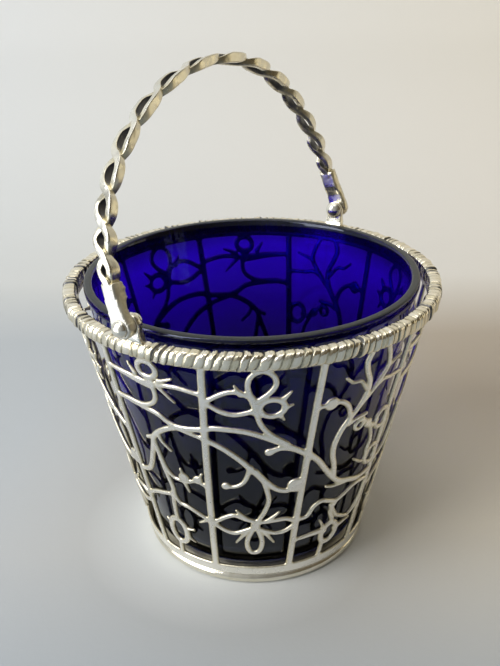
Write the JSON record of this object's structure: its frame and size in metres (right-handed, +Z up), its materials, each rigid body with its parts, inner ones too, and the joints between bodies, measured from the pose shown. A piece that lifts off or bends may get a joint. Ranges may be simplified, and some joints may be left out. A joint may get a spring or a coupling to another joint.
{
  "type": "cream pail",
  "caption": "Small pierced silver pail with a rope-edged rim, a swinging pierced handle on two rivets and a loose blue glass liner.",
  "frame": {"origin": "on the table under the centre of the pail", "axes": "+Z up; +X along the handle's hinge line, from the left rivet to the right one; +Y to the side that the standing handle leans to"},
  "size_m": [0.0934, 0.0858, 0.115],
  "materials": {
    "silver_foot": "polished silver, lightly worn",
    "silver_base": "plain silver, slightly dull",
    "silver_wall": "polished pierced sheet silver",
    "silver_rope": "polished silver wire with tarnish in the grooves",
    "silver_ear": "polished silver",
    "silver_rivet": "polished silver, hammered head",
    "silver_handle": "polished pierced silver strip",
    "blue_glass": "deep cobalt blue glass with a ground rim"
  },
  "bodies": {
    "pail": {"foot_wire": "silver_foot", "base_plate": "silver_base", "pierced_wall": "silver_wall", "rope_wire_back": "silver_rope", "rope_wire_front": "silver_rope", "ear_right": "silver_ear", "ear_left": "silver_ear", "hinge_rivet_right": "silver_rivet", "hinge_rivet_left": "silver_rivet"},
    "handle": {"handle": "silver_handle"},
    "liner": {"glass_liner": "blue_glass"}
  },
  "joints": [
    {"name": "handle_swing", "type": "hinge", "parent": "pail", "child": "handle", "pos_m": [0, 0, 0.0714], "axis": [1, 0, 0], "range_deg": [-79.3, 102.7]},
    {"name": "liner_lift", "type": "slide", "parent": "pail", "child": "liner", "axis": [0, 0, 1], "range_m": [0, 0.018]}
  ]
}
